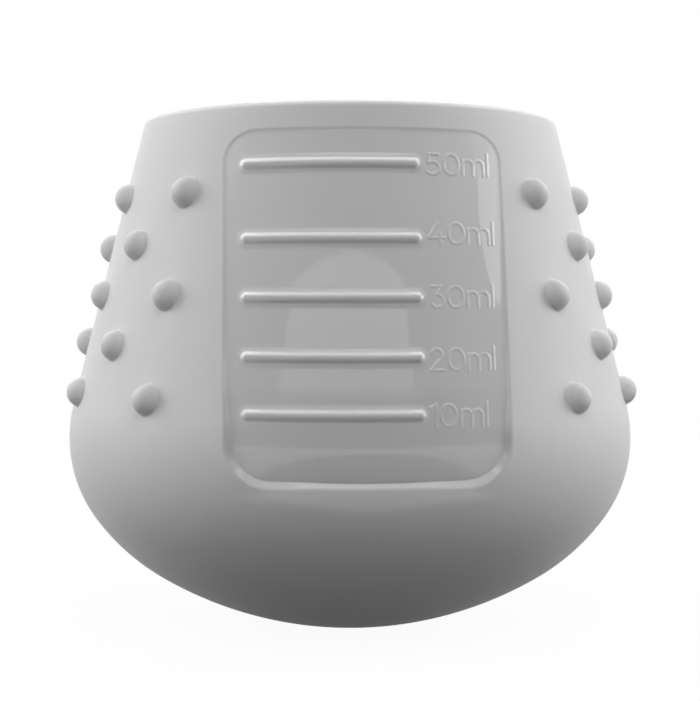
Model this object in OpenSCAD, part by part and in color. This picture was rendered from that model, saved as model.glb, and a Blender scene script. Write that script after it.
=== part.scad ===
// Small weighted training cup: a soft outer sleeve with grip bumps and a window,
// an inner cup whose graduated pad shows in the window, and a weight in the base.
// The cup stands on z = 0, its axis is Z and the window faces -Y. Sizes are in millimetres.

/* [Body] */
// Height from the table to the top of the lip
body_h = 53.6; // [51:0.1:60]
// Outside diameter that the straight wall reaches at the top of the lip
rim_d = 44; // [40:0.2:48]
// Outside diameter at the widest part
belly_d = 60.4; // [57:0.2:66]
// Radius of the shoulder that ends the straight wall
shoulder_r = 14.4; // [12:0.2:16]
// Angle below level at which the shoulder passes into the bowl
shoulder_turn = 36; // [30:1:42]
// Radius of the side of the bowl
bowl_r = 23; // [20:0.5:26]
// Radius of the bottom of the bowl
bottom_r = 39.7; // [36:0.1:46]
// Diameter of the flat that the cup stands on
foot_d = 14; // [8:0.5:16]

/* [Outer sleeve] */
// Thickness of the sleeve
sleeve_t = 1.7; // [1.2:0.1:2.2]
// Rounding of the edges of the lip
lip_r = 1.5; // [1:0.05:1.6]
// Height of the solid lip above the tongue of the inner cup
lip_h = 2; // [1.7:0.1:2.4]

/* [Inner cup] */
// Thickness of the wall of the inner cup
liner_t = 1.5; // [1.3:0.1:2.2]
// Thickness of the tongue that enters the lip
tongue_t = 0.7; // [0.5:0.05:0.8]
// Height of the tongue that enters the lip
tongue_h = 2; // [1:0.1:3]
// Height of the cavity floor above the table, at the axis
floor_z = 15.4; // [14.6:0.1:18]
// Radius of the dished floor of the cavity
floor_r = 50; // [40:1:70]
// Radius of the corner between the floor and the wall of the cavity
corner_r = 8; // [5:0.5:10]
// Height of the flat seat between the inner cup and the weight
seat_z = 12.5; // [9:0.5:13]

/* [Window] */
// Width of the window in the sleeve
window_w = 27.2; // [20:0.2:30]
// Distance from the top of the lip down to the window's top edge
window_drop = 2.5; // [2.4:0.1:4]
// Height of the window's bottom edge above the table
window_bottom = 17.3; // [16:0.1:20]
// Radius of the window's corners
window_corner_r = 3.6; // [2:0.1:6]
// Depth of the pad below the surface of the sleeve
recess = 0.45; // [0.35:0.05:1.2]

/* [Graduation lines] */
// Distance from the window's top edge down to the 50 ml line
line_50_drop = 3.5; // [2.5:0.1:5]
// Distance from the 50 ml line down to the 40 ml line
line_40_drop = 7.2; // [6:0.1:8]
// Distance from the 40 ml line down to the 30 ml line
line_30_drop = 5.6; // [4.8:0.1:6.2]
// Distance from the 30 ml line down to the 20 ml line
line_20_drop = 5.5; // [4.8:0.1:6.2]
// Distance from the 20 ml line down to the 10 ml line
line_10_drop = 5.3; // [4.8:0.1:6.2]
// Distance of the lines' left ends from the middle of the window
line_left = 11.9; // [6:0.1:12.2]
// Distance of the lines' right ends from the middle of the window
line_right = 5.1; // [2:0.1:8]
// Thickness of the half-round lines
line_t = 1.1; // [0.6:0.1:1.6]

/* [Grip bumps] */
// Diameter of a bump
bump_d = 3.2; // [2.4:0.1:3.6]
// Depth of a bump's centre below the surface of the sleeve
bump_sink = 0.1; // [0:0.05:0.4]
// Distance from the top of the lip down to the top row of bumps
bump_drop = 8.6; // [7.6:0.2:10.6]
// Height from one row of bumps to the next
bump_row_gap = 5; // [4:0.1:5.4]
// Rows of bumps on each side
bump_rows = 5; // [3:1:5]
// Angle from the window's middle to the first bump of the top row
bump_first = 45; // [42:1:50]
// Angle from one bump of a row to the next
bump_step = 30; // [24:1:32]

/* [Fit] */
// Gap left between pieces that are put together
fit_gap = 0.1; // [0.05:0.01:0.15]

/* [Hidden] */
$fn = 128;

// Insets from the outside of the cup
liner_inset = sleeve_t + fit_gap;
skirt_inset = liner_inset + tongue_t + fit_gap;
wall_t = liner_inset + liner_t;

// Outside profile: the foot stands on z = 0 and sets the height of each centre above it
rim_r = rim_d / 2;
shoulder_c_r = belly_d / 2 - shoulder_r;
bowl_c_r = shoulder_c_r + (shoulder_r - bowl_r) * cos(shoulder_turn);
bottom_turn = acos(bowl_c_r / (bottom_r - bowl_r));
bottom_c_z = sqrt(pow(bottom_r, 2) - pow(foot_d / 2, 2));
bowl_c_z = bottom_c_z - (bottom_r - bowl_r) * sin(bottom_turn);
belly_z = bowl_c_z - (bowl_r - shoulder_r) * sin(shoulder_turn);
rim_from_shoulder = [rim_r - shoulder_c_r, body_h - belly_z];
lean = atan2(rim_from_shoulder[1], rim_from_shoulder[0])
     - acos(shoulder_r / norm(rim_from_shoulder));
shoulder_c = [shoulder_c_r, belly_z];
bowl_c = [bowl_c_r, bowl_c_z];
bottom_c = [0, bottom_c_z];

// Lip and tongue
lip_c_z = body_h - lip_r;
lip_bottom = body_h - lip_h;
tongue_top = lip_bottom - fit_gap;
liner_top = tongue_top - tongue_h;

// Cavity: its corner touches the leaning wall and the dished floor
floor_c_z = floor_z + floor_r;
corner_reach = rim_r + body_h * tan(lean) - (wall_t + corner_r) / cos(lean);
corner_half_b = corner_reach * tan(lean) + floor_c_z;
corner_term = pow(corner_reach, 2) + pow(floor_c_z, 2) - pow(floor_r - corner_r, 2);
corner_c_z = (corner_half_b
              - sqrt(pow(corner_half_b, 2) - (1 + pow(tan(lean), 2)) * corner_term))
             / (1 + pow(tan(lean), 2));
corner_c = [wall_r(corner_c_z, wall_t + corner_r), corner_c_z];
floor_turn = atan2(floor_c_z - corner_c_z, corner_c[0]);

// Window, lines and bumps hang from the top of the lip
window_top = body_h - window_drop;
line_50_z = window_top - line_50_drop;
line_40_z = line_50_z - line_40_drop;
line_30_z = line_40_z - line_30_drop;
line_20_z = line_30_z - line_20_drop;
line_10_z = line_20_z - line_10_drop;
line_heights = [line_10_z, line_20_z, line_30_z, line_40_z, line_50_z];
bump_top_z = body_h - bump_drop;
bumps_per_side = 4;
side_angle = bump_first + bump_step * (bumps_per_side - 1) / 2;
arc_step = 4;
clear_above = 5;
front_reach = belly_d;

function polar(r, a) = [r * cos(a), r * sin(a)];
function tail(list) = [for (i = [1 : len(list) - 1]) list[i]];
function reverse(list) = [for (i = [len(list) - 1 : -1 : 0]) list[i]];

// Radius of the straight wall at a height, measured inwards from the outside by an inset
function wall_r(z, inset) = rim_r + (body_h - z) * tan(lean) - inset / cos(lean);

// Radius of the outline at a height above or a little below the widest part
function outline_r(z, inset) =
    z > belly_z + (shoulder_r - inset) * sin(lean)
        ? wall_r(z, inset)
        : shoulder_c_r + sqrt(pow(shoulder_r - inset, 2) - pow(z - belly_z, 2));

// Points of an arc from one angle to another, both ends included
function arc(centre, radius, from, to) =
    let (steps = ceil(abs(to - from) / arc_step))
    [for (i = [0 : steps]) centre + polar(radius, from + (to - from) * i / steps)];

// Outside of the cup from the end of the straight wall down to the foot, moved inwards by an inset
function bowl_points(inset) =
    let (foot_turn = asin((bottom_c_z - inset) / (bottom_r - inset)))
    concat(
        arc(shoulder_c, shoulder_r - inset, lean, -shoulder_turn),
        tail(arc(bowl_c, bowl_r - inset, -shoulder_turn, -bottom_turn)),
        tail(arc(bottom_c, bottom_r - inset, -bottom_turn, -foot_turn))
    );

// Half section of the cup's outside, moved inwards by an inset and ended at a height
module body_outline(inset, top) {
    polygon(concat(
        [[0, inset], [0, top], [wall_r(top, inset), top]],
        bowl_points(inset)
    ));
}

// Half section of the space that holds the drink
module cavity_outline() {
    top = body_h + clear_above;
    polygon(concat(
        [[0, top], [wall_r(top, wall_t), top]],
        arc(corner_c, corner_r, lean, -floor_turn),
        tail(arc([0, floor_c_z], floor_r, -floor_turn, -90))
    ));
}

// Strip of the leaning wall between two insets and two heights
module wall_strip(outer, inner, low, high) {
    polygon([
        [wall_r(low, inner), low], [wall_r(low, outer), low],
        [wall_r(high, outer), high], [wall_r(high, inner), high]
    ]);
}

// Half section of the sleeve: the outside, the pocket for the inner cup and the weight,
// the groove for the tongue, the skirt inside the tongue and the rounded lip
module sleeve_section() {
    lip_outer_c = [wall_r(lip_c_z, lip_r), lip_c_z];
    lip_inner_c = [wall_r(lip_c_z, wall_t - lip_r), lip_c_z];
    skirt_z = liner_top + fit_gap;
    polygon(concat(
        [[0, sleeve_t], [0, 0]],
        reverse(bowl_points(0)),
        arc(lip_outer_c, lip_r, lean, 90),
        arc(lip_inner_c, lip_r, 90, 180 + lean),
        [
            [wall_r(skirt_z, wall_t), skirt_z], [wall_r(skirt_z, skirt_inset), skirt_z],
            [wall_r(lip_bottom, skirt_inset), lip_bottom],
            [wall_r(lip_bottom, sleeve_t), lip_bottom]
        ],
        bowl_points(sleeve_t)
    ));
}

module liner_section() {
    difference() {
        body_outline(liner_inset, tongue_top);
        cavity_outline();
        wall_strip(liner_inset + tongue_t, wall_t + tongue_t, liner_top, body_h);
        square([belly_d, seat_z + fit_gap]);
    }
}

// Opening of the window as a bar along Y, made smaller all round by a gap
module window_bar(gap) {
    width = window_w - 2 * gap;
    height = window_top - window_bottom - 2 * gap;
    r = window_corner_r - gap;
    rotate([90, 0, 0])
        linear_extrude(front_reach)
            translate([-width / 2, window_bottom + gap]) {
                translate([0, r]) square([width, height - 2 * r]);
                translate([r, 0]) square([width - 2 * r, height]);
                for (x = [r, width - r], y = [r, height - r])
                    translate([x, y]) circle(r);
            }
}

// Part of the window's bar outside the middle of the tongue, so the skirt stays whole
module window_opening() {
    difference() {
        window_bar(0);
        rotate_extrude() body_outline(liner_inset + tongue_t / 2, body_h);
    }
}

// Pad of the inner cup that fills the window
module window_pad() {
    intersection() {
        window_bar(fit_gap);
        rotate_extrude() difference() {
            body_outline(recess, tongue_top);
            body_outline(liner_inset + tongue_t / 2, body_h);
        }
    }
}

// Half-round graduation line that follows the pad
module graduation_line(z) {
    r = outline_r(z, recess);
    from = -asin(line_left / r);
    to = asin(line_right / r);
    rotate_extrude(angle = to - from, start = from - 90)
        translate([r, z]) circle(d = line_t);
}

// Staggered rows of bumps, the same on both sides, each with its pole along the wall's normal
module grip_bumps() {
    for (row = [0 : bump_rows - 1], side = [-1, 1]) {
        z = bump_top_z - row * bump_row_gap;
        count = bumps_per_side - row % 2;
        for (i = [0 : count - 1]) {
            angle = side_angle + (i - (count - 1) / 2) * bump_step;
            rotate([0, 0, side * angle - 90])
                translate([outline_r(z, bump_sink), 0, z])
                    rotate([0, 90 - lean, 0]) sphere(d = bump_d);
        }
    }
}

module outer_sleeve() {
    color([0.74, 0.74, 0.75]) difference() {
        union() {
            rotate_extrude() sleeve_section();
            difference() {
                grip_bumps();
                rotate_extrude() body_outline(sleeve_t / 2, body_h);
            }
        }
        window_opening();
    }
}

module inner_cup() {
    color([0.68, 0.68, 0.69]) union() {
        rotate_extrude() liner_section();
        window_pad();
        for (z = line_heights) graduation_line(z);
    }
}

module base_weight() {
    color([0.45, 0.45, 0.46]) rotate_extrude() intersection() {
        body_outline(liner_inset, body_h);
        square([belly_d, seat_z]);
    }
}

outer_sleeve();
inner_cup();
base_weight();
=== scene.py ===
# %% [markdown]
# # A small weighted training cup
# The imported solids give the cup's sizes and pieces. This lesson dresses them: a matt silicone
# sleeve with grip bumps, a glossy pad in its window with raised lines and numerals, and the
# inner cup that holds the drink. Each surface is worked out as whole arrays of numbers.

import bmesh
import bpy
import numpy as np
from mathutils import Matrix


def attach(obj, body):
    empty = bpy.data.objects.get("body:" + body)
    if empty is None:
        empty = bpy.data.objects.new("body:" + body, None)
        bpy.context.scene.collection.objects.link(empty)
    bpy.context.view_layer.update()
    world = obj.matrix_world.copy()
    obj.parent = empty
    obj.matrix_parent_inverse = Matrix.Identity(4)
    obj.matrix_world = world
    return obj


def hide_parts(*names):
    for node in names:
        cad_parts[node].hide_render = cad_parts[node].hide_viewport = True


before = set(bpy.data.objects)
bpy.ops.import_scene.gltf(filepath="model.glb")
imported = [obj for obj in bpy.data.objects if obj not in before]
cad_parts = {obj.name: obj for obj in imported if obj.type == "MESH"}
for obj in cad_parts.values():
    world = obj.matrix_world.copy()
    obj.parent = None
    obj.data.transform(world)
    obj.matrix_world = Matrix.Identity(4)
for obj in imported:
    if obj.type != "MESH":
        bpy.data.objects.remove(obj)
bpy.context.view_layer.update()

# %% [markdown]
# ## Sizes
# Most sizes are those of the solids, in millimetres, so a dressed piece lands on the solid that
# it stands for. The lip, the window's edge, the lines and the bumps are a little finer here. The
# outside is a leaning wall, a shoulder, the side of a bowl and its bottom, each an arc that
# touches the next, so only radii and angles are needed.

# %% Sizes of the cup
MM = 0.001
body_h, rim_r, belly_r = 53.6, 22.0, 30.2
shoulder_r, shoulder_turn = 14.4, np.radians(36.0)
bowl_r, bottom_r, foot_r = 23.0, 39.7, 7.0
sleeve_t, liner_t, tongue_t, fit_gap = 1.7, 1.5, 0.7, 0.1
lip_r, lip_h, tongue_h = 1.5, 2.0, 2.0
floor_z, floor_r, corner_r, seat_z = 15.4, 50.0, 8.0, 12.5

liner_inset = sleeve_t + fit_gap
skirt_inset = liner_inset + tongue_t + fit_gap
wall_t = liner_inset + liner_t

shoulder_c_r = belly_r - shoulder_r
bowl_c_r = shoulder_c_r + (shoulder_r - bowl_r) * np.cos(shoulder_turn)
bottom_turn = np.arccos(bowl_c_r / (bottom_r - bowl_r))
bottom_c_z = np.sqrt(bottom_r**2 - foot_r**2)
bowl_c_z = bottom_c_z - (bottom_r - bowl_r) * np.sin(bottom_turn)
belly_z = bowl_c_z - (bowl_r - shoulder_r) * np.sin(shoulder_turn)
rim_from_shoulder = np.array([rim_r - shoulder_c_r, body_h - belly_z])
lean = (np.arctan2(rim_from_shoulder[1], rim_from_shoulder[0])
        - np.arccos(shoulder_r / np.hypot(*rim_from_shoulder)))
print(f"widest at {belly_z:.2f} mm, wall leans {np.degrees(lean):.2f} degrees")

# %% [markdown]
# ## The wall as a function
# A point of the wall is given by a turn about the axis, with 0 at the front, and a height. The
# radius follows the straight wall above the shoulder and the shoulder's arc below it. Its
# normal gives the direction in which the window sinks and the bumps rise.

# %% Wall radius, points and normals
def leaning_radius(z, inset):
    """Radius of the straight wall: rim radius plus drop times the tangent of the lean, moved
    inwards by the inset."""
    return rim_r + (body_h - z) * np.tan(lean) - inset / np.cos(lean)


def wall_tilt(z, inset=0.0):
    """Angle of the surface above level: the lean on the straight wall, then the arc's own angle,
    whose sine is the height from the widest part over the radius."""
    arc_r = shoulder_r - inset
    on_arc = np.arcsin(np.clip((z - belly_z) / arc_r, -1, 1))
    return np.where(z > belly_z + arc_r * np.sin(lean), lean, on_arc)


def wall_radius(z, inset=0.0):
    """Radius at a height: that of the straight wall, or the shoulder's centre plus what is left
    of its radius, both moved inwards by the inset."""
    arc_r = shoulder_r - inset
    on_arc = shoulder_c_r + np.sqrt(np.maximum(arc_r**2 - (z - belly_z) ** 2, 0))
    return np.where(z > belly_z + arc_r * np.sin(lean), leaning_radius(z, inset), on_arc)


def wall_point(turn, z, inset=0.0):
    """Radius at the height, turned about the axis from the front."""
    r = wall_radius(z, inset)
    return np.stack([r * np.sin(turn), -r * np.cos(turn), z + 0 * turn], -1)


def wall_normal(turn, z, inset=0.0):
    """Cosine of the tilt outwards, sine of the tilt upwards."""
    tilt = wall_tilt(z, inset)
    return np.stack([np.cos(tilt) * np.sin(turn), -np.cos(tilt) * np.cos(turn),
                     np.sin(tilt) + 0 * turn], -1)


def front_turn(x, z, inset=0.0):
    """Turn at which the wall at this height reaches x: the arcsine of x over the radius."""
    return np.arcsin(np.clip(x / wall_radius(z, inset), -1, 1))


print(f"radius at the lip {wall_radius(body_h):.2f}, at the belly {wall_radius(belly_z):.2f} mm")

# %% [markdown]
# ## From arrays to a mesh
# Each surface is a grid of points with rows and columns. A piece joins its grids, welds the
# points that coincide, which also closes the poles, drops points that no face uses, and turns
# every face outwards.

# %% Grids
def grid_faces(rows, cols, wrap=False):
    """Quads between neighbouring rows and columns; wrap joins the last column to the first."""
    i, j = np.meshgrid(np.arange(rows - 1), np.arange(cols if wrap else cols - 1), indexing="ij")
    k = (j + 1) % cols
    quads = np.stack([i * cols + j, i * cols + k, (i + 1) * cols + k, (i + 1) * cols + j], -1)
    return quads.reshape(-1, 4)


def sheet_of(points, wrap=False):
    """A grid of points, rows by columns by 3, with its quads."""
    rows, cols = points.shape[:2]
    return points.reshape(-1, 3), grid_faces(rows, cols, wrap)


print(f"a grid of 3 by 4 points has {len(grid_faces(3, 4))} quads")

# %% Pieces
WELD = 1e-6


def open_edges(mesh):
    """Number of edges that only one face uses, which is 0 for a closed mesh."""
    edges = np.zeros(len(mesh.loops), np.int32)
    mesh.loops.foreach_get("edge_index", edges)
    return np.count_nonzero(np.bincount(edges) == 1)


def make_piece(name, sheets):
    """Joins sheets of points in millimetres and quads into one welded mesh in metres."""
    starts = np.cumsum([0] + [len(p) for p, _ in sheets])
    points = np.concatenate([p for p, _ in sheets]) * MM
    quads = np.concatenate([q + s for (_, q), s in zip(sheets, starts)])
    mesh = bpy.data.meshes.new(name)
    mesh.from_pydata(points.tolist(), [], quads.tolist())
    work = bmesh.new()
    work.from_mesh(mesh)
    bmesh.ops.remove_doubles(work, verts=work.verts, dist=WELD)
    unused = [point for point in work.verts if not point.link_faces]
    bmesh.ops.delete(work, geom=unused, context="VERTS")
    bmesh.ops.recalc_face_normals(work, faces=work.faces)
    work.to_mesh(mesh)
    work.free()
    mesh.shade_smooth()
    piece = bpy.data.objects.new(name, mesh)
    bpy.context.scene.collection.objects.link(piece)
    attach(piece, "root")
    print(f"{name}: {len(mesh.vertices)} points, {len(mesh.polygons)} faces, "
          f"open edges {open_edges(mesh)}")
    return piece


# %% [markdown]
# ## The window's outline
# The window is a rounded rectangle seen from the front. Its outline is walked in four sides
# that meet in the middle of each corner, so that it can be laced to the edge of a square hole
# in the wall's grid with the same number of points on each side.

# %% Rounded outline in four sides
window_w, window_top, window_bottom = 27.2, 51.1, 17.05
top_corner_r, bottom_corner_r = 3.4, 4.4
across_n, up_n = 52, 64


def arc(centre, radius, start, end, steps=24):
    """Points on an arc: the centre plus the radius times cosine and sine of even angles."""
    a = np.linspace(start, end, steps + 1)
    return np.stack([centre[0] + radius * np.cos(a), centre[1] + radius * np.sin(a)], -1)


def even_points(path, count):
    """Walks a path of points at even distances, with count steps."""
    run = np.concatenate([[0], np.cumsum(np.hypot(*np.diff(path, axis=0).T))])
    at = np.linspace(0, run[-1], count + 1)
    return np.stack([np.interp(at, run, path[:, k]) for k in range(path.shape[1])], -1)


def window_sides():
    """Bottom, right, top and left sides in turn, each from the middle of one corner's arc to the
    middle of the next, with even steps."""
    half, q = window_w / 2, np.pi / 4
    low_x, high_x = half - bottom_corner_r, half - top_corner_r
    low_z, high_z = window_bottom + bottom_corner_r, window_top - top_corner_r
    bottom = np.concatenate([arc((-low_x, low_z), bottom_corner_r, -3 * q, -2 * q),
                             arc((low_x, low_z), bottom_corner_r, -2 * q, -q)])
    right = np.concatenate([arc((low_x, low_z), bottom_corner_r, -q, 0),
                            arc((high_x, high_z), top_corner_r, 0, q)])
    top = np.concatenate([arc((high_x, high_z), top_corner_r, q, 2 * q),
                          arc((-high_x, high_z), top_corner_r, 2 * q, 3 * q)])
    left = np.concatenate([arc((-high_x, high_z), top_corner_r, 3 * q, 4 * q),
                           arc((-low_x, low_z), bottom_corner_r, 4 * q, 5 * q)])
    return [even_points(side, n)
            for side, n in ((bottom, across_n), (right, up_n), (top, across_n), (left, up_n))]


window_ring = np.concatenate([side[:-1] for side in window_sides()])
print(f"window outline: {len(window_ring)} points")

# %% [markdown]
# ## The sleeve's section
# The sleeve is a closed section carried round the axis: the flat foot, the bowl, the wall, the
# rolled lip, the skirt and groove that hold the inner cup, and the inside back down to the
# axis. The lip's outer rounding is an oval, wider than high, so its edge stays crisp.

# %% Paths of the bowl, the wall and the lip
lip_fall, lip_rise = 0.75, 0.1
lip_c_z = body_h - lip_r
lip_bottom = body_h - lip_h
skirt_z = lip_bottom - tongue_h


def bowl_path(inset, top):
    """Half section from the axis over the foot, up the bottom, the bowl and the shoulder to a
    height on the shoulder, all moved inwards by the inset."""
    foot_turn = np.arcsin((bottom_c_z - inset) / (bottom_r - inset))
    end = wall_tilt(np.array(top), inset)
    edge = np.sqrt((bottom_r - inset) ** 2 - (bottom_c_z - inset) ** 2)
    foot = np.stack([np.linspace(0, edge, 6), np.full(6, inset)], -1)
    return np.concatenate([
        foot, arc((0, bottom_c_z), bottom_r - inset, -foot_turn, -bottom_turn)[1:],
        arc((bowl_c_r, bowl_c_z), bowl_r - inset, -bottom_turn, -shoulder_turn)[1:],
        arc((shoulder_c_r, belly_z), shoulder_r - inset, -shoulder_turn, end)[1:]])


def band_path(inset, low, high):
    """Half section of the wall between two heights."""
    z = np.linspace(low, high, 400)
    return np.stack([wall_radius(z, inset), z], -1)


def lip_oval():
    """Quarter of an oval from the wall's lean to level: half width times cosine and half height
    times sine of a turn, moved so that it starts on the wall and ends at the lip's top."""
    start = np.arctan2(lip_fall * np.sin(lean), lip_r * np.cos(lean))
    turn = np.linspace(start, np.pi / 2, 15)
    oval = np.stack([lip_r * np.cos(turn), lip_fall * np.sin(turn)], -1)
    oval[:, 1] += body_h + lip_rise - lip_fall
    oval[:, 0] += leaning_radius(oval[0, 1], 0) - oval[0, 0]
    return oval


print(f"lip at {body_h + lip_rise:.1f} mm, groove from {skirt_z:.1f} to {lip_bottom:.1f} mm")

# %% [markdown]
# The outer wall and the inner wall are cut into the same number of rows between two heights.
# Those rows form the bands in which the window's hole is left out.

# %% Rows of the sleeve's section
hole_low, hole_high, inner_hole_high = 14.3, 52.0, 51.55
outer_bowl = even_points(bowl_path(0.0, hole_low), 44)
outer_band = even_points(band_path(0.0, hole_low, hole_high), up_n)
lip_inner = (leaning_radius(lip_c_z, wall_t - lip_r), lip_c_z + lip_rise)
lip_path = np.concatenate([lip_oval(), arc(lip_inner, lip_r, np.pi / 2, np.pi + lean, 18)])
skirt_path = np.array([
    [leaning_radius(skirt_z, wall_t), skirt_z], [leaning_radius(skirt_z, skirt_inset), skirt_z],
    [leaning_radius(lip_bottom, skirt_inset), lip_bottom],
    [leaning_radius(lip_bottom, sleeve_t), lip_bottom]])
inner_band = even_points(band_path(sleeve_t, hole_low, inner_hole_high), up_n)[::-1]
inner_bowl = even_points(bowl_path(sleeve_t, hole_low), 30)[::-1]
sleeve_section = np.concatenate([outer_bowl, outer_band[1:], lip_path, skirt_path,
                                 inner_band, inner_bowl[1:]])
outer_first = len(outer_bowl) - 1
inner_first = len(outer_bowl) + up_n + len(lip_path) + len(skirt_path)
print(f"sleeve section: {len(sleeve_section)} rows")

# %% [markdown]
# ## The sleeve with its window
# Carrying the section round the axis gives a grid. The cells in front of the window are left
# out of the outside and of the inside, and the points round each hole are kept in the order of
# the window's outline.

# %% Sleeve grid with two square holes
columns = 240
hole_half = across_n // 2


def turned(section, count):
    """Section points carried round the axis, starting at the front."""
    turn = np.arange(count) * 2 * np.pi / count
    r, z = section[:, :1], section[:, 1:]
    return np.stack([r * np.sin(turn), -r * np.cos(turn), z + 0 * turn], -1)


sleeve_grid = turned(sleeve_section, columns)
sleeve_points, sleeve_quads = sheet_of(sleeve_grid, wrap=True)
cell_row, cell_col = np.divmod(np.arange(len(sleeve_quads)), columns)
in_front = (cell_col < hole_half) | (cell_col >= columns - hole_half)
in_band = (((cell_row >= outer_first) & (cell_row < outer_first + up_n))
           | ((cell_row >= inner_first) & (cell_row < inner_first + up_n)))
sleeve_quads = sleeve_quads[~(in_front & in_band)]


def hole_ring(low_row, step):
    """Grid points round a square hole, in the order of the window's sides."""
    across = np.arange(-hole_half, hole_half + 1) % columns
    rows = low_row + step * np.arange(up_n + 1)
    return np.concatenate([
        sleeve_grid[rows[0], across[:-1]], sleeve_grid[rows[:-1], across[-1]],
        sleeve_grid[rows[-1], across[:0:-1]], sleeve_grid[rows[:0:-1], across[0]]])


outer_hole = hole_ring(outer_first, 1)
inner_hole = hole_ring(inner_first + up_n, -1)
print(f"sleeve grid: {len(sleeve_quads)} quads, {np.sum(in_front & in_band)} left out")

# %% [markdown]
# A laced band joins the square hole to the rounded outline. Near the bottom of the window the
# wall sinks a little towards the outline, less so at the corners, which gives the soft light
# edge there.

# %% Laced band that sinks towards the window's bottom
low_edge_sink, low_edge_w, low_edge_top = 0.37, 2.4, 18.6
corner_share, corner_x = 0.55, 9.5
LACE = np.array([0, 0.05, 0.1, 0.17, 0.25, 0.34, 0.45, 0.58, 0.75, 1])[:, None]


def sink_at(x, z):
    """Depth by which the wall sinks at the outline: a smooth step below a height, which shrinks
    by a share of the square of x over the corner's x."""
    low = np.clip((low_edge_top - z) / (low_edge_top - window_bottom), 0, 1)
    return low_edge_sink * low**2 * (3 - 2 * low) * (1 - corner_share * (x / corner_x) ** 2)


def sink_left(off_edge):
    """Share of the sinking that is left at a distance from the outline: an even slope over the
    first half of the band's width, then a hollow that runs out level."""
    left = np.clip(1 - off_edge / low_edge_w, 0, 1)
    return np.where(left > 0.5, (4 * left - 1) / 3, 4 * left**2 / 3)


ring_z = window_ring[:, 1]
ring_turn = front_turn(window_ring[:, 0], ring_z)
hole_turn = np.arctan2(outer_hole[:, 0], -outer_hole[:, 1])
lace_turn = ring_turn + LACE * (hole_turn - ring_turn)
lace_z = ring_z + LACE * (outer_hole[:, 2] - ring_z)
flat_lace = wall_point(lace_turn, lace_z)
off_edge = np.linalg.norm(flat_lace - flat_lace[0], axis=-1)
sink = sink_at(window_ring[:, 0], ring_z)
outer_lace = flat_lace - (sink * sink_left(off_edge))[..., None] * wall_normal(lace_turn, lace_z)
print(f"the wall sinks by up to {sink.max():.2f} mm at the window's bottom")

# %% [markdown]
# The edge is carried along the outline and drops into the window: a rounding, an even slope and
# a small hollow at the pad. The window is shallow at the top and deep at the bottom, and the
# run inwards grows with the depth, so the slope stays about the same. The sleeve has the upper
# part of the edge and the pad the rest.

# %% Window edge as rows along the outline
low_recess, mid_recess, top_recess, mid_z = 0.8, 0.25, 0.06, 26.0
edge_run, edge_run_most, edge_fall = 0.45, 0.8, 0.62
rounding_end, hollow_start, low_edge_start = 0.35, 0.85, 0.3
SOFT_START = ([0, rounding_end, hollow_start, 1], [0, 1, 1, 0])
FULL_START = ([0, hollow_start, 1], [1, 1, 0])

edge = wall_point(ring_turn, ring_z)
edge_normal = wall_normal(ring_turn, ring_z)
inward = np.cross(edge_normal, np.roll(edge, -1, 0) - np.roll(edge, 1, 0))
inward /= np.linalg.norm(inward, axis=1, keepdims=True)


def recess_at(z):
    """Depth of the pad below the wall, in two straight runs from the bottom to the top."""
    return np.interp(z, [window_bottom, mid_z, window_top], [low_recess, mid_recess, top_recess])


ring_run = np.clip((recess_at(ring_z) - sink) / edge_fall, edge_run, edge_run_most)


def running_sum(t, places, slopes):
    """Sum up to t of a slope that is given at a few places between 0 and 1."""
    fine = np.linspace(0, 1, 201)
    slope = np.interp(fine, places, slopes)
    return np.interp(t, fine, np.concatenate([[0], np.cumsum((slope[1:] + slope[:-1]) / 2)]))


def edge_drop(t):
    """Share of the depth reached along the edge: the slope grows over the rounding, stays even
    and fades out in the hollow. Where the wall sinks, a part of it starts at full slope."""
    full = low_edge_start * sink / low_edge_sink
    down, whole = [(1 - full) * running_sum(at, *SOFT_START) + full * running_sum(at, *FULL_START)
                   for at in (t, 1.0)]
    return down / whole


def edge_rows(t):
    """Rows of points along the edge: inwards by the run, down by the share of the depth."""
    t = np.asarray(t)[:, None]
    down = sink + (recess_at(ring_z) - sink) * edge_drop(t)
    return edge + (ring_run * t)[..., None] * inward - down[..., None] * edge_normal


print(f"the edge runs inwards by {ring_run.min():.2f} to {ring_run.max():.2f} mm")

# %% Sleeve
edge_split, edge_brink = 0.3, 0.01


def closed(ring_rows):
    """Rows of ring points as a sheet whose last column joins the first."""
    return sheet_of(np.asarray(ring_rows), wrap=True)


side_top = edge_rows(np.append(np.linspace(0, edge_split - edge_brink, 8), edge_split))
side_foot = edge + edge_split * ring_run[:, None] * inward - sleeve_t * edge_normal
window_edge = np.concatenate([side_top, side_foot[None]])
inner_lace = side_foot + np.linspace(0, 1, 4)[:, None, None] * (inner_hole - side_foot)
sleeve = make_piece("sleeve_skin", [(sleeve_points, sleeve_quads), closed(outer_lace),
                                    closed(window_edge), closed(inner_lace)])
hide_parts("outer_sleeve")

# %% [markdown]
# ## Grip bumps
# The bumps are half balls moulded on the wall in staggered rows. One bump is a profile turned
# about the wall's normal: over the ball, out through a small hollow fillet and back under the
# skin, so it is a closed shell. All bumps are worked out in one array.

# %% Bump places and profile
bump_r, bump_sink, bump_fillet = 1.54, 0.08, 0.14
bump_top_z, bump_row_gap, bump_step = 45.0, 5.0, 30.0
bump_rows, bumps_in_row = 5, (4, 3)
# steps of the root: distance from the fillet's rim, height above the wall
BUMP_ROOT = [(0.03, -0.05), (0.0, -0.4)]
root_z = -0.5


def bump_places():
    """Turns and heights: rows of four and three by turns, spread evenly about each side."""
    turns, heights = [], []
    for row in range(bump_rows):
        count = bumps_in_row[row % 2]
        side = 90 + (np.arange(count) - (count - 1) / 2) * bump_step
        turns.append(np.radians(np.concatenate([side, -side])))
        heights.append(np.full(2 * count, bump_top_z - row * bump_row_gap))
    return np.concatenate(turns), np.concatenate(heights)


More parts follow.
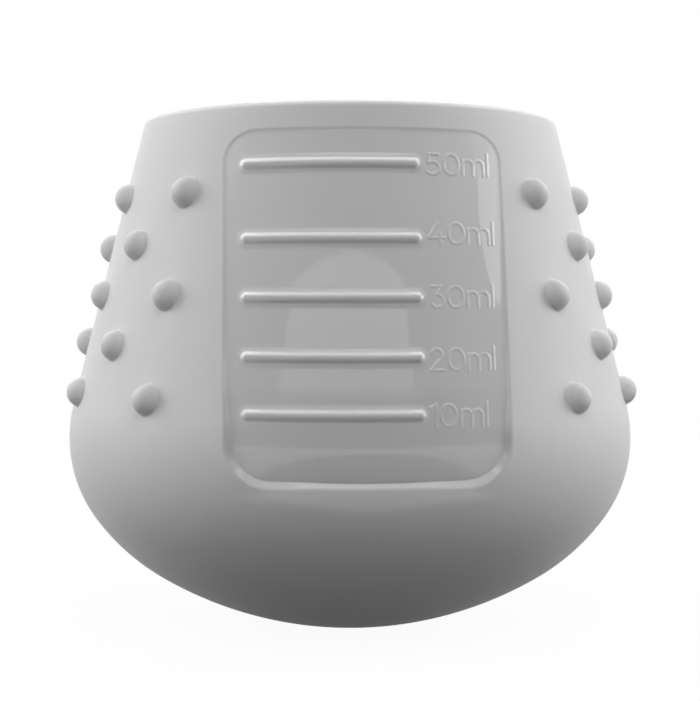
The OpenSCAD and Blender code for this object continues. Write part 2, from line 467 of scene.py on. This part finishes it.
def bump_profile():
    """Distance from the bump's axis and height above the wall: the ball's arc from its top, a
    hollow arc that meets the wall, then the root below the skin."""
    foot_a = np.arcsin((bump_fillet + bump_sink) / (bump_r + bump_fillet))
    ball = arc((0, -bump_sink), bump_r, np.pi / 2, foot_a, 16)
    fillet_c = ((bump_r + bump_fillet) * np.cos(foot_a), bump_fillet)
    fillet = arc(fillet_c, bump_fillet, np.pi + foot_a, 1.5 * np.pi, 5)
    root = [[fillet[-1, 0] + out, z] for out, z in BUMP_ROOT] + [[0, root_z]]
    return np.concatenate([ball, fillet[1:], root])


bump_turn, bump_z = bump_places()
profile = bump_profile()
print(f"{len(bump_turn)} bumps, {profile[0, 1]:.2f} mm high")

# %% Bumps
bump_sides = 32
spin = np.arange(bump_sides) * 2 * np.pi / bump_sides
out = wall_normal(bump_turn, bump_z)
level = np.stack([np.cos(bump_turn), np.sin(bump_turn), 0 * bump_turn], -1)
slope = np.cross(out, level)
sideways = profile[:, :1] * np.cos(spin)
upwards = profile[:, :1] * np.sin(spin)
wrap_drop = sideways**2 * np.cos(lean) / (2 * wall_radius(bump_z)[:, None, None])
rise = profile[:, 1:] - wrap_drop
bump_grid = (wall_point(bump_turn, bump_z)[:, None, None]
             + sideways[..., None] * level[:, None, None]
             + upwards[..., None] * slope[:, None, None] + rise[..., None] * out[:, None, None])
bumps = make_piece("grip_bumps", [sheet_of(one, wrap=True) for one in bump_grid])

# %% [markdown]
# ## The inner cup
# The inner cup lines the sleeve: a tongue enters the lip's groove, the wall leans like the
# sleeve's, and a rounded corner leads to a dished floor over a flat seat. The corner's centre
# is where the wall and the floor, both moved inwards by the corner's radius, meet.

# %% Corner and seat of the inner cup
floor_c_z = floor_z + floor_r
reach = rim_r + body_h * np.tan(lean) - (wall_t + corner_r) / np.cos(lean)
half_b = reach * np.tan(lean) + floor_c_z
spare = reach**2 + floor_c_z**2 - (floor_r - corner_r) ** 2
steep = 1 + np.tan(lean) ** 2
corner_z = (half_b - np.sqrt(half_b**2 - steep * spare)) / steep
corner_c = (leaning_radius(corner_z, wall_t + corner_r), corner_z)
floor_turn = np.arctan2(floor_c_z - corner_z, corner_c[0])

seat_top, past_seat_z = seat_z + fit_gap, 16.0
path_r, path_z = bowl_path(liner_inset, past_seat_z).T
seat_r = np.interp(seat_top, path_z, path_r)
print(f"seat {2 * seat_r:.1f} mm across, corner's centre at {corner_z:.2f} mm")

# %% Inner cup
tongue_top = lip_bottom - fit_gap
liner_top = tongue_top - tongue_h
bend_z, bend_gap, corner_lead = belly_z + 3.0, 0.2, 2.0
liner_out = bowl_path(liner_inset, bend_z)
liner_out = liner_out[liner_out[:, 1] > seat_top]
liner_in = np.array([[leaning_radius(z, wall_t), z] for z in (liner_top, corner_z + corner_lead)])
liner_section = np.concatenate([
    np.stack([np.linspace(0, seat_r, 12), np.full(12, seat_top)], -1), liner_out,
    even_points(band_path(liner_inset, bend_z + bend_gap, tongue_top), 40),
    [[leaning_radius(tongue_top, liner_inset + tongue_t), tongue_top],
     [leaning_radius(liner_top, liner_inset + tongue_t), liner_top]],
    even_points(liner_in, 30), arc(corner_c, corner_r, lean, -floor_turn, 20),
    arc((0, floor_c_z), floor_r, -floor_turn, -np.pi / 2, 16)])
liner = make_piece("inner_cup_shell", [sheet_of(turned(liner_section, 160), wrap=True)])
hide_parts("inner_cup")

# %% [markdown]
# ## The pad in the window
# The pad is the part of the inner cup that fills the window, a little below the sleeve. A patch
# between the four sides of the outline gives its front: each point is a blend of the two
# opposite sides, less the blend of the corners that would be counted twice. Its rim follows the
# lower part of the window's edge, so the two pieces meet on one even slope.

# %% Points on the pad and patches between four sides
pad_back = 2.3


def on_pad(x, z, lift=0.0):
    """Point of the pad at x and z, moved along the pad's normal by a lift."""
    depth = recess_at(z)
    turn = front_turn(x, z, depth)
    return wall_point(turn, z, depth) + np.asarray(lift)[..., None] * wall_normal(turn, z, depth)


def behind_pad(x, z):
    """Point of the pad's rear at x and z."""
    return wall_point(front_turn(x, z, pad_back), z, pad_back)


def patch_between(ring):
    """Blends four sides into a grid: across plus up less the two-way blend of the corners."""
    cut = np.cumsum([0, across_n, up_n, across_n, up_n])
    loop = np.concatenate([ring, ring[:1]])
    bottom, right, top, left = [loop[a:b + 1] for a, b in zip(cut[:-1], cut[1:])]
    top, left = top[::-1], left[::-1]
    u = np.linspace(0, 1, across_n + 1)[None, :, None]
    v = np.linspace(0, 1, up_n + 1)[:, None, None]
    corners = ((1 - u) * (1 - v) * bottom[0] + u * (1 - v) * bottom[-1]
               + (1 - u) * v * top[0] + u * v * top[-1])
    return ((1 - v) * bottom[None] + v * top[None]
            + (1 - u) * left[:, None] + u * right[:, None] - corners)


# %% Pad
rim_overlap = 0.05
rim_start = edge_split - rim_overlap
pad_rim = edge_rows(np.append(rim_start, np.linspace(rim_start + edge_brink, 1, 10)))
pad_xz = patch_between(pad_rim[-1][:, [0, 2]])
pad_front = on_pad(pad_xz[..., 0], pad_xz[..., 1])
pad_rim[-1] = on_pad(pad_rim[-1, :, 0], pad_rim[-1, :, 2])
pad_side = pad_rim[0] - np.linspace(0, pad_back - low_recess, 4)[:, None, None] * edge_normal
rear_xz = patch_between(pad_side[-1][:, [0, 2]])
pad_rear = behind_pad(rear_xz[..., 0], rear_xz[..., 1])
pad_side[-1] = behind_pad(pad_side[-1, :, 0], pad_side[-1, :, 2])
pad = make_piece("window_pad", [sheet_of(pad_front), closed(pad_rim), sheet_of(pad_rear),
                                closed(pad_side)])

# %% [markdown]
# ## Graduation lines
# The lines are soft ridges with round ends. A short table gives the steepness, in degrees, at
# a few distances from the middle, and adding it up from the foot inwards gives the height. The
# profile is carried along one side of a path, round its end, back along the other side and
# round its start.

# %% Ridge along a path
foot_dip, ridge_side, ridge_root = 0.01, -0.1, -0.3


def ridge_profile(slopes, steps):
    """Distance from the path and height: the height is the sum of the slopes' tangents from the
    foot inwards, less a small dip that hides the foot's border; then the root in the pad."""
    knots, degrees = np.array(slopes, float).T
    far = np.concatenate([np.linspace(a, b, steps, endpoint=False)
                          for a, b in zip(knots[:-1], knots[1:])] + [knots[-1:]])
    steep = np.tan(np.radians(np.interp(far, knots, degrees)))
    drop = np.concatenate([[0], np.cumsum(np.diff(far) * (steep[1:] + steep[:-1]) / 2)])
    root = [[knots[-1], ridge_side], [knots[-1], ridge_root], [0, ridge_root]]
    return np.concatenate([np.stack([far, drop[-1] - drop - foot_dip], -1), root])


def stroke(path, slopes, steps):
    """The ridge along a path: points of the path plus the profile's distance times a direction,
    which is square to the path along its sides and swings through half a turn at its ends."""
    ahead = np.gradient(path, axis=0)
    ahead /= np.linalg.norm(ahead, axis=1, keepdims=True)
    right = np.stack([ahead[:, 1], -ahead[:, 0]], -1)
    swing = np.linspace(0, np.pi, 4 * steps + 1)[1:-1, None]
    ends = [np.cos(swing) * r + np.sin(swing) * a
            for r, a in ((right[-1], ahead[-1]), (-right[0], -ahead[0]))]
    aim = np.concatenate([right, ends[0], -right[::-1], ends[1]])
    spine = np.concatenate([path, 0 * ends[0] + path[-1], path[::-1], 0 * ends[1] + path[0]])
    far, lift = ridge_profile(slopes, steps).T[..., None]
    return sheet_of(on_pad(spine[:, 0] + far * aim[:, 0], spine[:, 1] + far * aim[:, 1],
                           lift + 0 * spine[:, 0]), wrap=True)


# %% Five lines
line_z = np.array([23.95, 29.25, 34.77, 40.35, 47.5])
line_left, line_right, line_half = -11.77, 5.17, 0.55
# distance from the middle, degrees
LINE_SLOPES = [(0.0, 0), (0.3, 38), (0.42, 46), (0.5, 38), (0.58, 16), (0.85, 7), (1.25, 0)]


def level_path(z, count=60):
    """A level path from the lines' left end to their right end, less the round ends."""
    x = np.linspace(line_left + line_half, line_right - line_half, count)
    return np.stack([x, np.full(count, z)], -1)


lines = make_piece("graduation_lines", [stroke(level_path(z), LINE_SLOPES, 4) for z in line_z])

# %% [markdown]
# ## Numerals
# The numerals are thin raised strokes. Each sign is a few paths in a unit box, made of straight
# runs and arcs, and each path carries a ridge like the lines', only much smaller and lower.

# %% Signs as paths in a unit box
def run_of(*points):
    """A straight run from point to point, with points close enough to follow the pad."""
    corners = np.array(points, float)
    return even_points(corners, 12 * (len(corners) - 1))


def bow(cx, cz, rx, rz, start, end):
    """Part of an oval: the centre plus the half widths times cosine and sine, in degrees."""
    a = np.radians(np.linspace(start, end, 29))
    return np.stack([cx + rx * np.cos(a), cz + rz * np.sin(a)], -1)


def joined(*paths):
    """Paths put end to end as one, walked at even distances."""
    return even_points(np.concatenate(paths), 40)


SIGNS = {
    "0": [bow(0.5, 0.5, 0.5, 0.5, 90, 450)],
    "1": [run_of((0.0, 0.86), (1.0, 1.0)), run_of((1.0, 1.0), (1.0, 0.0))],
    "2": [joined(bow(0.45, 0.71, 0.41, 0.29, 160, -38), run_of((0.72, 0.5), (0.0, 0.0))),
          run_of((0.0, 0.0), (1.0, 0.0))],
    "3": [run_of((0.05, 1.0), (0.9, 1.0)), run_of((0.9, 1.0), (0.42, 0.6)),
          bow(0.46, 0.3, 0.5, 0.3, 95, -150)],
    "4": [run_of((0.6, 1.0), (0.0, 0.28)), run_of((0.0, 0.28), (1.0, 0.28)),
          run_of((0.74, 0.5), (0.74, 0.0))],
    "5": [run_of((0.2, 1.0), (0.95, 1.0)), run_of((0.2, 1.0), (0.13, 0.53)),
          bow(0.45, 0.31, 0.53, 0.31, 128, -145)],
    "m": [run_of((0.0, 0.74), (0.0, 0.0)),
          joined(bow(0.25, 0.46, 0.25, 0.28, 180, 0), run_of((0.5, 0.46), (0.5, 0.0))),
          joined(bow(0.75, 0.46, 0.25, 0.28, 180, 0), run_of((1.0, 0.46), (1.0, 0.0)))],
    "l": [run_of((0.0, 1.08), (0.0, 0.0))],
}
print("signs:", {sign: len(paths) for sign, paths in SIGNS.items()})

# %% Labels beside the lines
SIGN_W = {"0": 1.5, "1": 0.6, "2": 1.28, "3": 1.15, "4": 1.52, "5": 1.28, "m": 2.12, "l": 0.0}
SIGN_SLOPES = [(0.0, 0), (0.1, 16), (0.16, 21), (0.28, 0)]
sign_h, sign_gap = 1.95, 0.42
LABELS = [("50ml", 5.8, 46.5), ("40ml", 5.85, 39.87), ("30ml", 5.98, 33.88),
          ("20ml", 5.72, 28.08), ("10ml", 5.52, 22.98)]


def label_strokes(word, left, foot):
    """Strokes of a word: each sign's paths scaled to its width and height, set side by side."""
    widths = np.array([SIGN_W[s] for s in word])
    lefts = left + np.concatenate([[0], np.cumsum(widths + sign_gap)[:-1]])
    return [stroke(path * (width, sign_h) + (x, foot), SIGN_SLOPES, 2)
            for s, x, width in zip(word, lefts, widths) for path in SIGNS[s]]


numerals = make_piece("numerals", [s for label in LABELS for s in label_strokes(*label)])

# %% [markdown]
# ## Shader maths
# A small class wraps a socket, so that sums and products of values are written as plain
# expressions and each one adds its Math node. One method makes any other node.

# %% Socket arithmetic
class Value:
    """A socket of a material, with the arithmetic that adds Math nodes."""

    def __init__(self, shade, socket):
        self.shade, self.socket = shade, socket

    def math(self, operation, other, swap=False):
        pair = (other, self) if swap else (self, other)
        return self.shade.node("ShaderNodeMath", {"operation": operation}, dict(enumerate(pair)))

    def __add__(self, other):
        return self.math("ADD", other)

    def __sub__(self, other):
        return self.math("SUBTRACT", other)

    def __rsub__(self, other):
        return self.math("SUBTRACT", other, swap=True)

    def __mul__(self, other):
        return self.math("MULTIPLY", other)

    def __truediv__(self, other):
        return self.math("DIVIDE", other)

    __radd__, __rmul__ = __add__, __mul__


class Shade:
    """The node tree of a material or the world, with one method for any node."""

    def __init__(self, owner):
        owner.use_nodes = True
        self.tree = owner.node_tree
        self.tree.nodes.clear()

    def node(self, kind, settings=None, inputs=None, output=0):
        made = self.tree.nodes.new(kind)
        for key, value in (settings or {}).items():
            setattr(made, key, value)
        for key, value in (inputs or {}).items():
            if isinstance(value, Value):
                self.tree.links.new(value.socket, made.inputs[key])
            else:
                made.inputs[key].default_value = value
        return Value(self, made.outputs[output]) if made.outputs else None


# %% [markdown]
# ## Silicone
# All three pieces are silicone. The sleeve is matt: fine grain from the mould, faint clouds in
# the colour and a roughness that wanders a little. The pad is polished, so it keeps nearly the
# same colour with a low roughness. The weight inside is a darker, filled silicone.

# %% Silicone materials
SILICONE_IOR, cloud_scale, fine_scale, bump_share = 1.41, 90.0, 700.0, 0.25


def silicone(name, colour, roughness, grain, grain_depth, shine, cloud=0.02, dust=0.04):
    """Principled surface: colour clouds from wide noise, roughness from finer noise, and bump
    from the grain of the mould."""
    material = bpy.data.materials.new(name)
    s = Shade(material)
    where = s.node("ShaderNodeTexCoord", output="Object")
    wide, fine, mould = [
        s.node("ShaderNodeTexNoise", {}, {"Vector": where, "Scale": scale, "Detail": detail})
        for scale, detail in ((cloud_scale, 3.0), (fine_scale, 2.0), (grain, 1.0))]
    pale = tuple(min(1.0, c * (1 + cloud)) for c in colour) + (1.0,)
    deep = tuple(c * (1 - cloud) for c in colour) + (1.0,)
    tint = s.node("ShaderNodeMix", {"data_type": "RGBA"}, {0: wide, 6: deep, 7: pale}, output=2)
    rough = roughness - dust / 2 + dust * fine
    bump = s.node("ShaderNodeBump", {}, {
        "Height": mould, "Strength": bump_share, "Distance": grain_depth})
    surface = s.node("ShaderNodeBsdfPrincipled", {}, {
        "Base Color": tint, "Roughness": rough, "Normal": bump, "IOR": SILICONE_IOR,
        "Specular IOR Level": shine})
    s.node("ShaderNodeOutputMaterial", {}, {"Surface": surface})
    return material


def grey(level):
    """Linear colour of an even grey written as it shows on screen, from 0 to 255."""
    v = level / 255
    lin = v / 12.92 if v <= 0.04045 else ((v + 0.055) / 1.055) ** 2.4
    return (lin, lin, lin)


matt_skin = silicone("matt_sleeve_silicone", grey(222), 0.6, 9000.0, 0.00002, shine=0.14)
gloss_pad = silicone("polished_liner_silicone", grey(216), 0.03, 2500.0, 0.0000005, shine=1.0,
                     dust=0.015)
dull_weight = silicone("filled_weight_silicone", grey(120), 0.6, 6000.0, 0.00002, shine=0.3,
                       cloud=0.08)
for piece in (sleeve, bumps):
    piece.data.materials.append(matt_skin)
for piece in (liner, pad, lines, numerals):
    piece.data.materials.append(gloss_pad)
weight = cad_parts["base_weight"]
weight.data.materials.clear()
weight.data.materials.append(dull_weight)
print("materials:", [m.name for m in (matt_skin, gloss_pad, dull_weight)])

# %% [markdown]
# ## Floor and surroundings
# The cup stands on a plain pale floor in a white room. For the camera and for reflections the
# floor and the room are white. For light that the cup gathers, the room is black and the floor
# grey, with a painted shadow that makes it darker close to the cup, so the round bottom stays in
# shade. A part of the floor's white is lit by the lamps, so the cup's cast shadow shows.

# %% Helpers for floor, room and boards
WHITE = (1, 1, 1, 1)


def seen_directly(s):
    """1 for camera, glossy and transmission rays, and 0 for the light that the cup gathers."""
    path = s.tree.nodes.new("ShaderNodeLightPath")
    camera, glossy, through = [
        Value(s, path.outputs[k])
        for k in ("Is Camera Ray", "Is Glossy Ray", "Is Transmission Ray")]
    return camera.math("MAXIMUM", glossy.math("MAXIMUM", through))


def eased(s, value, start, end, low, high):
    """Runs smoothly from low to high while the value runs from start to end."""
    return s.node("ShaderNodeMapRange", {"interpolation_type": "SMOOTHSTEP"},
                  {0: value, 1: start, 2: end, 3: low, 4: high})


def glow(s, strength, colour=WHITE):
    """An even glow."""
    return s.node("ShaderNodeEmission", {}, {"Color": colour, "Strength": strength})


def dull(s, level):
    """A dull grey."""
    return s.node("ShaderNodeBsdfDiffuse", {}, {"Color": (level, level, level, 1)})


# %% Floor
floor_half = 4.0
floor_glow, floor_lit, lit_to, plain_from = 0.95, 0.06, 0.1, 0.3
# near the cup the floor's grey for gathered light is a painted shadow, eased out to far_grey
near_shadow_grey, far_grey, near_to, far_from = 0.165, 0.235, 0.045, 0.11

floor_mesh = bpy.data.meshes.new("floor")
floor_mesh.from_pydata([(x * floor_half, y * floor_half, 0)
                        for x, y in ((-1, -1), (1, -1), (1, 1), (-1, 1))], [], [(0, 1, 2, 3)])
floor = bpy.data.objects.new("floor", floor_mesh)
bpy.context.scene.collection.objects.link(floor)
floor_paint = bpy.data.materials.new("pale_floor")
s = Shade(floor_paint)
away = s.node("ShaderNodeVectorMath", {"operation": "LENGTH"},
              {0: s.node("ShaderNodeTexCoord", output="Object")}, output="Value")
shadowed = s.node("ShaderNodeAddShader", {}, {0: glow(s, floor_glow), 1: dull(s, floor_lit)})
white = s.node("ShaderNodeMixShader", {}, {
    0: eased(s, away, lit_to, plain_from, 0.0, 1.0), 1: shadowed, 2: glow(s, 1.0)})
# painted shadow: gathered light sees a darker floor close to the cup
dark = s.node("ShaderNodeMixShader", {}, {
    0: eased(s, away, near_to, far_from, 0.0, 1.0), 1: dull(s, near_shadow_grey), 2: dull(s, far_grey)})
look = s.node("ShaderNodeMixShader", {}, {0: seen_directly(s), 1: dark, 2: white})
s.node("ShaderNodeOutputMaterial", {}, {"Surface": look})
floor_mesh.materials.append(floor_paint)
print(f"floor: {2 * floor_half:.0f} m wide, material {floor_paint.name}")

# %% Room
world = bpy.data.worlds.new("white_room")
bpy.context.scene.world = world
s = Shade(world)
shown = s.node("ShaderNodeBackground", {}, {"Color": WHITE, "Strength": 1.0})
gathered = s.node("ShaderNodeBackground", {}, {"Color": WHITE, "Strength": 0.0})
room = s.node("ShaderNodeMixShader", {}, {0: seen_directly(s), 1: gathered, 2: shown})
s.node("ShaderNodeOutputWorld", {}, {"Surface": room})
print("room:", world.name)

# %% [markdown]
# ## Lamps
# Soft boxes light the sides and the back, so the outline is bright and the tops of the bumps and
# lines shine. A high box in front fills the front, which stays a shade darker than the sides.
# The polished pad would mirror the boxes beside it and in front, so reflected rays see only the
# boxes behind the cup.

# %% Soft boxes
lamp_distance, lamp_aim_z, behind_from = 0.6, 0.03, 95
LAMPS = [
    # name, azimuth, elevation, width and height in metres, power
    ("left_low_box", -92, 18, 0.4, 0.4, 0.72),
    ("right_low_box", 92, 18, 0.4, 0.4, 1.1),
    ("left_rear_box", -106, 18, 0.4, 0.4, 1.69),
    ("right_rear_box", 106, 18, 0.4, 0.4, 1.51),
    ("left_back_box", -135, 40, 0.5, 0.5, 0.4),
    ("right_back_box", 135, 40, 0.5, 0.5, 0.4),
    ("back_box", 180, 15, 0.8, 0.3, 1.0),
    ("front_high_box", 0, 70, 0.6, 0.5, 0.2),
    ("front_box", 0, 45, 0.6, 0.5, 1.75),
    ("front_low_box", 0, 15, 0.6, 0.4, 0.1),
]


def soft_box(name, azimuth, elevation, width, height, power):
    """An area lamp at a direction from the cup's middle, turned to face it."""
    lamp = bpy.data.lights.new(name, "AREA")
    lamp.shape, lamp.size, lamp.size_y, lamp.energy = "RECTANGLE", width, height, power
    box = bpy.data.objects.new(name, lamp)
    a, e = np.radians(azimuth), np.radians(elevation)
    way = np.array([np.sin(a) * np.cos(e), -np.cos(a) * np.cos(e), np.sin(e)])
    box.location = way * lamp_distance + np.array([0, 0, lamp_aim_z])
    box.rotation_euler = (np.pi / 2 - e, 0, a)
    box.visible_camera, box.visible_glossy = False, abs(azimuth) > behind_from
    bpy.context.scene.collection.objects.link(box)


for lamp in LAMPS:
    soft_box(*lamp)
print("lamps:", [lamp[0] for lamp in LAMPS])

# %% [markdown]
# ## Boards that the polished pad mirrors
# A polished surface shows what stands round it. In front stands a screen that is dark below and
# lit above, with a lighter board before it. A strip stands at the right, and a bright screen
# leans overhead, where the tops of the lines mirror it. A grey patch on the table in front is a
# painted shadow of the cup, which the pad mirrors low down. Only reflected rays see them, so they
# draw the soft shapes on the pad and leave the light on the cup as it is.

# %% Paints for the boards
screen_y, glance_z = -520, 40
LIT_PART, BRIGHT_TOP = (0.19, 0.36, 0.0, 0.74), (0.42, 0.58, 0.0, 2.0)
LOW_GLOW, BOARD_GLOW = (0.0, 0.11, 0.3, 0.0), (0.12, 0.3, 0.0)


def painted(name, mix):
    """A material whose glow is what mix makes in its node tree."""
    paint = bpy.data.materials.new(name)
    s = Shade(paint)
    s.node("ShaderNodeOutputMaterial", {}, {"Surface": mix(s)})
    return paint


def plain_paint(name, strength):
    """A material with the same glow everywhere."""
    return painted(name, lambda s: glow(s, strength))


def screen_paint(name, extra):
    """Glow by the height at which a place is seen from the cup, so its bands stay level in the
    mirror: a lit part above a dark band, a bright top, a low glow over the table, and an extra
    that a board adds above the dark band."""
    def mix(s):
        place = s.tree.nodes.new("ShaderNodeSeparateXYZ")
        where = s.node("ShaderNodeTexCoord", output="Object")
        s.tree.links.new(where.socket, place.inputs[0])
        x, z = Value(s, place.outputs[0]), Value(s, place.outputs[2])
        span = (x * x + (screen_y * MM) ** 2).math("POWER", 0.5)
        tall = (z - glance_z * MM) / span * abs(screen_y * MM) + glance_z * MM
        level = (eased(s, tall, *LIT_PART) + eased(s, z, *LOW_GLOW)
                 + eased(s, tall, *BRIGHT_TOP) + eased(s, tall, *BOARD_GLOW, extra))
        return glow(s, 1.0, level)

    return painted(name, mix)


# %% Boards, painted cup shadow and screens
board_y, strip_x, shadow_patch_z = -500, 400, 0.5
FRONT_SCREEN = [(-1500, 0), (1500, 0), (1500, 700), (-1500, 700)]
FRONT_BOARD = [(-383, 0), (240, 0), (224, 208), (192, 306), (57, 306), (-118, 311), (-287, 324),
               (-312, 297), (-336, 225)]
RIGHT_BOARD = [(-177, 256), (-203, 249), (-209, 234), (-199, 213), (-174, 198), (-120, 190),
               (-40, 190), (-40, 222), (-84, 236)]
BACK_SCREEN = [(600, 500, 350), (-600, 500, 350), (-600, -100, 800), (600, -100, 800)]
# painted shadow: the cup's shadow on the table in front, as a grey patch that only reflections
# see
MIRRORED_CUP_SHADOW = [(-36, -40), (38, -40), (41, -53), (49, -68), (57, -97), (60, -133), (47, -190),
             (15, -208), (-31, -164), (-44, -116), (-42, -79), (-38, -59)]
BOARDS = [
    ("front_screen", [(x, screen_y, z) for x, z in FRONT_SCREEN],
     screen_paint("front_screen_paint", 0.0)),
    ("front_board", [(x, board_y, z) for x, z in FRONT_BOARD],
     screen_paint("front_board_paint", 0.95)),
    ("right_board", [(strip_x, y, z) for y, z in RIGHT_BOARD],
     plain_paint("right_board_paint", 1.9)),
    ("back_screen", BACK_SCREEN, plain_paint("back_screen_paint", 4.6)),
    # the grey patch is a painted shadow of the cup, not a mat
    ("mirrored_cup_shadow", [(x, y, shadow_patch_z) for x, y in MIRRORED_CUP_SHADOW], plain_paint("mirrored_cup_shadow_paint", 0.4)),
]


def mirrored_board(name, corners, paint):
    """A flat board from its corners in millimetres, seen by reflected rays alone."""
    mesh = bpy.data.meshes.new(name)
    points = [tuple(c * MM for c in corner) for corner in corners]
    mesh.from_pydata(points, [], [tuple(range(len(corners)))])
    mesh.materials.append(paint)
    board = bpy.data.objects.new(name, mesh)
    board.visible_camera = board.visible_diffuse = board.visible_shadow = False
    board.visible_transmission = board.visible_volume_scatter = False
    bpy.context.scene.collection.objects.link(board)


for board in BOARDS:
    mirrored_board(*board)
print("boards:", [board[0] for board in BOARDS])

# %% [markdown]
# ## Camera
# The camera's place comes from the cup's own measured points: it stands a little left of the
# front and looks slightly down from above the middle of the cup.

# %% Camera
focal_px, image_px = 1620, 700
camera_at, camera_dip, camera_turn = np.array([-11.31, -176.22, 35.0]), 0.034, np.radians(-3.673)
lens = bpy.data.cameras.new("camera")
lens.sensor_fit, lens.sensor_width = "HORIZONTAL", 36.0
lens.lens = 36.0 * focal_px / image_px
lens.clip_start, lens.clip_end = 0.01, 50.0
camera = bpy.data.objects.new("camera", lens)
camera.location = camera_at * MM
camera.rotation_euler = (np.pi / 2 - camera_dip, 0, camera_turn)
bpy.context.scene.collection.objects.link(camera)
bpy.context.scene.camera = camera
bpy.context.scene.view_settings.view_transform = "Standard"
print(f"camera: lens {lens.lens:.1f} mm at", camera_at)
